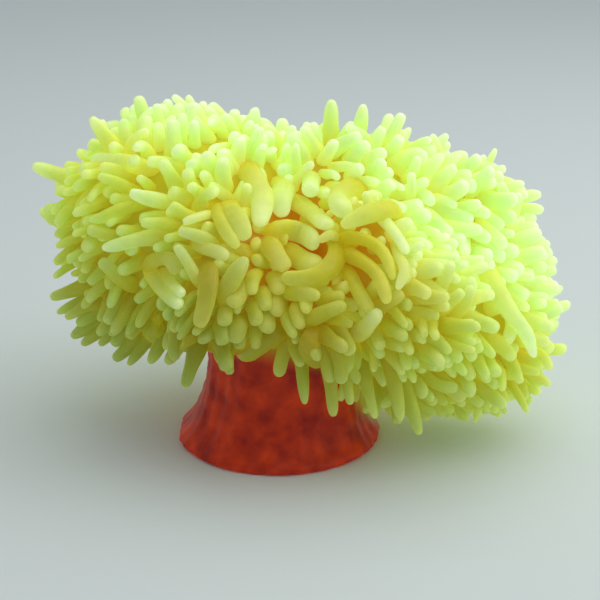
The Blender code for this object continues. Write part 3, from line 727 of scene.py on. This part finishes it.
def bend_fingers(bunch, model):
    """The model finger's points, bent along each tentacle of the bunch at once."""
    beads, radii, flats, tapers, phases = (
        values_of(bunch, name) for name in ("beads", "radius", "flat", "taper", "phase"))
    ends = beads[:, -1] + TIP_ROOM * radii[:, None] * unit(beads[:, -1] - beads[:, -2])
    chain = np.concatenate((beads, ends[:, None]), axis=1)
    reach = np.linalg.norm(np.diff(chain, axis=1), axis=2)
    run = np.concatenate((np.zeros((len(bunch), 1)), np.cumsum(reach, axis=1)), axis=1)
    heights = sorted(set(np.round(model[:, 2], 6)))
    centres = np.empty((len(bunch), len(heights), 3))
    for i in range(len(bunch)):
        grown = spline(chain[i], run[i])
        for j, height in enumerate(heights):
            centres[i, j] = grown(height * run[i, -1])
    ways = unit(np.gradient(centres, axis=1))
    hinge = unit(np.cross(ways[:, 0], unit(beads[:, 0] - CROWN_CENTRE) + 0.3))
    shaped = np.empty((len(bunch), len(model), 3))
    for j, height in enumerate(heights):
        hinge = unit(hinge - ways[:, j] * np.sum(hinge * ways[:, j], axis=1, keepdims=True))
        across = np.cross(hinge, ways[:, j])
        for v in np.nonzero(np.abs(model[:, 2] - height) < 1e-5)[0]:
            swell = 1 + SWELLING[0] * np.sin(2 * math.pi * (SWELLING[1] * height + phases))
            width = radii * swell * (1 + tapers * (TAPER_MIDDLE - height)) / ROUNDING_LOSS
            shaped[:, v] = (centres[:, j] + across * (width * flats * model[v, 0])[:, None]
                            + hinge * (width / np.sqrt(flats) * model[v, 1])[:, None])
    return shaped


def patch_uvs(finger, repeats):
    """Each tentacle's patch of the bake map: round it across, along it up."""
    points = points_of(finger)
    turn = np.arctan2(points[:, 1], points[:, 0]) / (2 * math.pi) % 1
    plain = np.empty((len(finger.data.loops), 2))
    for face in finger.data.polygons:
        indices = [finger.data.loops[i].vertex_index for i in face.loop_indices]
        across = [turn[i] for i in indices]
        if max(across) - min(across) > 0.5:
            across = [u + 1 if u < 0.5 else u for u in across]
        root_end = max(points[i, 2] for i in indices) < 1e-6
        for loop, u, i in zip(face.loop_indices, across, indices):
            if root_end:
                round_root = np.array((math.cos(2 * math.pi * u), math.sin(2 * math.pi * u)))
                plain[loop] = ROOT_PATCH[0] + ROOT_PATCH[1] * round_root
            else:
                plain[loop] = SIDE_PATCH[0] + SIDE_PATCH[1] * np.array((u / SEAM_ROOM, points[i, 2]))
    columns = math.ceil(math.sqrt(repeats))
    return [(plain + (k % columns, k // columns)) / columns for k in range(repeats)]


def join_tentacles(name, bunch, fingers):
    """Copies of the long or the short finger, each bent to its own tentacle, joined as one mesh."""
    bunch = sorted(bunch, key=lambda tentacle: tentacle.give)
    laid = [t for t in bunch if t.give < 1]
    grown = bunch[len(laid):]
    models = [fingers[0]] * len(laid) + [fingers[1]] * len(grown)
    shaped = [points for finger, own in zip(fingers, (laid, grown)) if own
              for points in bend_fingers(own, points_of(finger))]
    patches = patch_uvs(fingers[0], len(bunch))
    copies = []
    for finger, tentacle, points, patch in zip(models, bunch, shaped, patches):
        data = finger.data.copy()
        data.vertices.foreach_set("co", points.ravel())
        data.uv_layers["OFBake"].data.foreach_set("uv", patch.ravel())
        for mark, value in tentacle.marks.items():
            add_attribute(data, mark, np.full(len(points), value))
        copies.append(bpy.data.objects.new(name, data))
        bpy.context.scene.collection.objects.link(copies[-1])
    pick(*copies)
    bpy.ops.object.join()
    joined = named(name)
    smooth = joined.modifiers.new("smooth", "SUBSURF")
    smooth.levels = smooth.render_levels = 1
    return joined


def mark_tentacles(bunch):
    """How golden each tentacle is, how pale with painted light and how deep in painted shade, by where it
    stands, and a chance of its own.
    """
    rng = random.Random(MARK_SEED)
    beads = values_of(bunch, "beads")
    far, _ = from_mouth(beads[:, 0])
    middles = beads[:, MIDDLE_BEAD]
    golden_way = unit(MOUTH_AXIS + GOLD_LOW * np.array((0, 0, -1)))
    gold = smooth_step(unit(middles - CROWN_CENTRE) @ golden_way, *GOLD_REACH)
    # painted light: upper tentacles, away from the mouth, made paler
    pale = smooth_step(middles @ PAINTED_LIGHT_RISE, *PAINTED_LIGHT_REACH) * smooth_step(far, *PAINTED_LIGHT_ROUND)
    # painted shade: low front tentacles made darker and olive
    painted_shade = painted_shade_at(middles)
    for index, tentacle in enumerate(bunch):
        tentacle.phase = rng.random()
        usual = (gold[index] * (1 - GOLD_UNDER_PAINTED_SHADE * painted_shade[index]), pale[index])
        own_gold, own_pale = OWN_MARKS.get(tentacle.name, usual)
        own_painted_shade = painted_shade[index] * (1 - PAINTED_SHADE_UNDER_PALE * own_pale)
        tentacle.marks = {"chance": rng.random(), "gold": own_gold, "pale": own_pale, "painted_shade": own_painted_shade}


# ---- Finishes, with colours in linear red, green and blue ----
LIME = (  # (share of a tentacle's length, colour), from its root to its tip; the roots' deeper gold is partly painted shade, where the tentacles shade each other
    (0.0, (0.62, 0.48, 0.010)), (0.3, (0.56, 0.56, 0.027)),
    (0.7, (0.55, 0.66, 0.085)), (1.0, (0.60, 0.76, 0.23)),
)
GOLDEN = (
    (0.0, (0.50, 0.24, 0.003)), (0.2, (0.50, 0.39, 0.007)),
    (0.7, (0.50, 0.46, 0.020)), (1.0, (0.58, 0.57, 0.085)),
)
# the pale colours, brought by the painted light on the upper tentacles
PALE_AND_PAINTED_LIGHT = (
    (0.0, (0.64, 0.60, 0.045)), (0.3, (0.59, 0.71, 0.145)),
    (0.7, (0.60, 0.80, 0.300)), (1.0, (0.67, 0.86, 0.50)),
)
# what full painted shade multiplies a tentacle's colour by
PAINTED_SHADE_TINT = (0.20, 0.19, 0.06)
HUE_RANGE = (0.491, 0.509)
VALUE_RANGE = (0.86, 1.12)
DISC_YELLOW = (0.56, 0.50, 0.016)
DISC_GOLD = (0.58, 0.25, 0.006)
THROAT_ORANGE = (0.50, 0.16, 0.004)
# and the same for the skin's colour
DISC_PAINTED_SHADE = (0.34, 0.30, 0.24)
COLUMN_REDS = ((0.3, (0.20, 0.006, 0.002)), (0.7, (0.46, 0.034, 0.003)))
TENTACLE_GRAIN = (210, 1300)  # scales of the mottling and of the pimples
SKIN_GRAIN = (160, 900)
# the emission in these values is a painted glow of the flesh's own colour, which lifts its shade
TENTACLE_FINISH = (  # least and most roughness, strength and depth of the pimples, and the shader's values
    (0.34, 0.52), (0.25, 0.25 * MM), {
        "Emission Strength": 0.37, "Specular IOR Level": 0.3,
        "Sheen Weight": 0.35, "Sheen Roughness": 0.4, "Sheen Tint": (0.78, 0.90, 0.22, 1),
        "Subsurface Weight": 1.0, "Subsurface Radius": (1.0, 1.0, 0.3), "Subsurface Scale": 5.5 * MM})
# the skin's emission is a painted glow too
SKIN_FINISH = (
    (0.3, 0.5), (0.3, 0.3 * MM), {
        "Emission Strength": 0.32, "Specular IOR Level": 0.2,
        "Subsurface Weight": 0.8, "Subsurface Radius": (1.0, 0.8, 0.2), "Subsurface Scale": 4 * MM})
GRAIN_SOCKETS = (
    ("Place", "INPUT", "Vector"), ("Mottle Scale", "INPUT", "Float"), ("Pimple Scale", "INPUT", "Float"),
    ("Mottle", "OUTPUT", "Float"), ("Height", "OUTPUT", "Float"),
)
PIMPLE_SHARE = -0.5  # of the grain's height
SWELLS_TO_PIMPLES = 3  # how much wider the soft swells are than the pimples


def new_material(name):
    made = bpy.data.materials.new(name)
    made.use_nodes = True
    return made, made.node_tree.nodes, made.node_tree.links


def set_inputs(node, values):
    for socket, value in values.items():
        node.inputs[socket].default_value = value


def add_node(nodes, kind, inputs=(), **settings):
    """A node with these settings, and these values on its own sockets."""
    node = nodes.new(kind)
    for name, value in settings.items():
        setattr(node, name, value)
    set_inputs(node, dict(inputs))
    return node


def read_marks(nodes, *names):
    """The values that the flesh's own attributes hold."""
    return [add_node(nodes, "ShaderNodeAttribute", attribute_name=name).outputs["Fac"] for name in names]


def add_ramp(nodes, links, value, stops):
    node = nodes.new("ShaderNodeValToRGB")
    elements = node.color_ramp.elements
    while len(elements) < len(stops):
        elements.new(0.5)
    for element, (at, colour) in zip(elements, stops):
        element.position = at
        element.color = (*colour, 1)
    links.new(value, node.inputs[0])
    return node.outputs[0]


def mix_colours(nodes, links, factor, first, second, blend="MIX"):
    node = add_node(nodes, "ShaderNodeMix", data_type="RGBA", blend_type=blend)
    links.new(factor, node.inputs[0])
    for socket, colour in ((node.inputs[6], first), (node.inputs[7], second)):
        if isinstance(colour, tuple):
            socket.default_value = (*colour, 1)
        else:
            links.new(colour, socket)
    return node.outputs[2]


def grain_group():
    """Soft mottling and the fine pimples of living skin, for any flesh."""
    group = bpy.data.node_groups.new("flesh grain", "ShaderNodeTree")
    for name, way, kind in GRAIN_SOCKETS:
        group.interface.new_socket(name=name, in_out=way, socket_type="NodeSocket" + kind)
    nodes, links = group.nodes, group.links
    source, target = nodes.new("NodeGroupInput"), nodes.new("NodeGroupOutput")
    mottle = add_node(nodes, "ShaderNodeTexNoise", {"Detail": 3})
    pimples = add_node(nodes, "ShaderNodeTexVoronoi", feature="SMOOTH_F1")
    swell = add_node(nodes, "ShaderNodeTexNoise", {"Detail": 2})
    swell_scale = add_node(nodes, "ShaderNodeMath", {1: SWELLS_TO_PIMPLES}, operation="DIVIDE")
    height = add_node(nodes, "ShaderNodeMath", {1: PIMPLE_SHARE}, operation="MULTIPLY_ADD")
    for texture in (mottle, pimples, swell):
        links.new(source.outputs["Place"], texture.inputs["Vector"])
    links.new(source.outputs["Mottle Scale"], mottle.inputs["Scale"])
    links.new(source.outputs["Pimple Scale"], pimples.inputs["Scale"])
    links.new(source.outputs["Pimple Scale"], swell_scale.inputs[0])
    links.new(swell_scale.outputs[0], swell.inputs["Scale"])
    links.new(pimples.outputs["Distance"], height.inputs[0])
    links.new(swell.outputs["Fac"], height.inputs[2])
    links.new(mottle.outputs["Fac"], target.inputs["Mottle"])
    links.new(height.outputs[0], target.inputs["Height"])
    return group


def add_grain(nodes, links, group, mottle_scale, pimple_scale):
    """The grain group, at these scales in waves for each metre."""
    node = add_node(nodes, "ShaderNodeGroup", node_tree=group)
    set_inputs(node, {"Mottle Scale": mottle_scale, "Pimple Scale": pimple_scale})
    links.new(nodes.new("ShaderNodeTexCoord").outputs["Object"], node.inputs["Place"])
    return node.outputs["Mottle"], node.outputs["Height"]


def add_range(nodes, links, value, low, high):
    node = add_node(nodes, "ShaderNodeMapRange", {"To Min": low, "To Max": high})
    links.new(value, node.inputs["Value"])
    return node.outputs["Result"]


def finish_flesh(nodes, links, colour, mottle, height, finish):
    """The colour, also as the emission of a faint painted glow that lifts the shade, roughness that follows
    the mottling, and the pimples.
    """
    roughness, (strength, depth), values = finish
    shader = nodes["Principled BSDF"]
    # the colour is also the emission, a painted glow that lifts the shade
    for socket in ("Base Color", "Emission Color"):
        links.new(colour, shader.inputs[socket])
    links.new(add_range(nodes, links, mottle, *roughness), shader.inputs["Roughness"])
    pimples = add_node(nodes, "ShaderNodeBump", {"Strength": strength, "Distance": depth})
    links.new(height, pimples.inputs["Height"])
    links.new(pimples.outputs["Normal"], shader.inputs["Normal"])
    set_inputs(shader, values)


def tentacle_material(grain):
    """Translucent flesh, golden at the root (partly painted shade) and lime towards the tip, with golden
    places, painted light that makes the upper ones pale and painted shade that makes the low front ones
    olive.
    """
    made, nodes, links = new_material("tentacle flesh")
    along, gold, pale, painted_shade, chance = read_marks(nodes, "along", "gold", "pale", "painted_shade", "chance")
    mottle, height = add_grain(nodes, links, grain, *TENTACLE_GRAIN)
    lime, golden, pale_and_painted_light = (add_ramp(nodes, links, along, stops) for stops in (LIME, GOLDEN, PALE_AND_PAINTED_LIGHT))
    colour = mix_colours(nodes, links, gold, lime, golden)
    # painted light: the upper tentacles mixed towards the pale colours
    colour = mix_colours(nodes, links, pale, colour, pale_and_painted_light)
    # painted shade: the low front tentacles darkened and made olive
    colour = mix_colours(nodes, links, painted_shade, colour, PAINTED_SHADE_TINT, "MULTIPLY")
    hue = nodes.new("ShaderNodeHueSaturation")
    links.new(add_range(nodes, links, chance, *HUE_RANGE), hue.inputs["Hue"])
    links.new(add_range(nodes, links, mottle, *VALUE_RANGE), hue.inputs["Value"])
    links.new(colour, hue.inputs["Color"])
    finish_flesh(nodes, links, hue.outputs[0], mottle, height, TENTACLE_FINISH)
    return made


def skin_material(grain):
    """The yellow disc with its golden places, orange throat and painted shade low in front, and the mottled
    red column, in one.
    """
    made, nodes, links = new_material("disc and column flesh")
    gold, red, throat, painted_shade = read_marks(nodes, "gold", "red", "throat", "painted_shade")
    mottle, height = add_grain(nodes, links, grain, *SKIN_GRAIN)
    disc = mix_colours(nodes, links, gold, DISC_YELLOW, DISC_GOLD)
    disc = mix_colours(nodes, links, throat, disc, THROAT_ORANGE)
    # painted shade: the skin low and in front darkened
    disc = mix_colours(nodes, links, painted_shade, disc, DISC_PAINTED_SHADE, "MULTIPLY")
    colour = mix_colours(nodes, links, red, disc, add_ramp(nodes, links, mottle, COLUMN_REDS))
    finish_flesh(nodes, links, colour, mottle, height, SKIN_FINISH)
    return made


# ---- Stage ----
VIEW_ELEVATION = 20
CAMERA_DISTANCE = 450 * MM
CAMERA_AIM = Vector((4.2, 0, 40.5)) * MM
CAMERA_LENS = 96
FLOOR_SIZE = 6  # m
FLOOR_FINISH = {"Base Color": (0.70, 0.76, 0.74, 1), "Roughness": 0.85}
ROOM_LIGHT = {"Color": (0.9, 0.95, 1.0, 1), "Strength": 0.47}
LIGHTS = (  # (name, place in m, size in m, power in W)
    ("top light", (0.20, 0.06, 0.60), 0.9, 2.3),
    ("side light", (0.55, -0.15, 0.35), 0.5, 0.6),
)


def set_stage():
    """The pale floor, the even light of the room, and the lamps."""
    deselect()
    bpy.ops.mesh.primitive_plane_add(size=FLOOR_SIZE, location=(0, 0, 0))
    floor = named("floor")
    made, nodes, _ = new_material("pale floor")
    set_inputs(nodes["Principled BSDF"], FLOOR_FINISH)
    floor.data.materials.append(made)
    world = bpy.data.worlds.new("studio")
    world.use_nodes = True
    set_inputs(world.node_tree.nodes["Background"], ROOM_LIGHT)
    bpy.context.scene.world = world
    for light in LIGHTS:
        add_light(*light)


def set_up(obj, place, way):
    """Puts a light or the camera in its place, looking that way."""
    obj.location = place
    obj.rotation_mode = "QUATERNION"
    obj.rotation_quaternion = way.to_track_quat("-Z", "Y")
    bpy.context.scene.collection.objects.link(obj)


def add_light(name, place, size, power):
    data = bpy.data.lights.new(name, "AREA")
    data.size = size
    data.energy = power
    set_up(bpy.data.objects.new(name, data), place, CAMERA_AIM - Vector(place))


def set_camera():
    data = bpy.data.cameras.new("camera")
    data.lens = CAMERA_LENS
    data.clip_start = 0.01
    camera = bpy.data.objects.new("camera", data)
    slope = math.radians(VIEW_ELEVATION)
    back = Vector((0, -math.cos(slope), math.sin(slope)))
    set_up(camera, CAMERA_AIM + back * CAMERA_DISTANCE, -back)
    bpy.context.scene.camera = camera


def all_tentacles(tree):
    """Those placed one by one, and long, short and shortest ones grown in the room that is left."""
    bunch = laid_tentacles(tree)
    bunch += grown_tentacles(bunch, SEEDS[0], LAID_ROOM, LENGTHS[0], BARE_MOUTH[0])
    settle(bunch, SETTLE_ROUNDS[0])
    bunch = clear_laid(bunch)
    bunch += grown_tentacles(bunch, SEEDS[1], FILL_ROOM, LENGTHS[1], BARE_MOUTH[1])
    settle(bunch, SETTLE_ROUNDS[1])
    bunch = clear_laid(bunch)
    bunch = clear_laid(bunch + grown_tentacles(bunch, SEEDS[2], FILL_ROOM, LENGTHS[2], BARE_MOUTH[1]))
    settle(bunch, SETTLE_ROUNDS[2])
    mark_tentacles(bunch)
    return bunch


def main():
    set_camera()
    set_stage()
    bpy.context.scene.view_settings.view_transform = "Standard"

    skin, tree = model_skin()
    grain = grain_group()
    skin.data.materials.append(skin_material(grain))
    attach(skin, "root")
    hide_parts(*FLESH)

    fingers = (model_finger("long_finger", LONG_FINGER), model_finger("short_finger", SHORT_FINGER))
    bunch = all_tentacles(tree)
    flesh = tentacle_material(grain)
    for (start, side), (end, _) in zip(GROUPS, GROUPS[1:] + GROUPS[:1]):
        width = (end - start) % 360
        own = [t for t in bunch if (azimuths(t.beads[:1])[0] - start) % 360 < width]
        piece = join_tentacles("tentacles_" + side, own, fingers)
        piece.data.materials.append(flesh)
        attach(piece, "root")
    for finger in fingers:
        bpy.data.objects.remove(finger)


main()
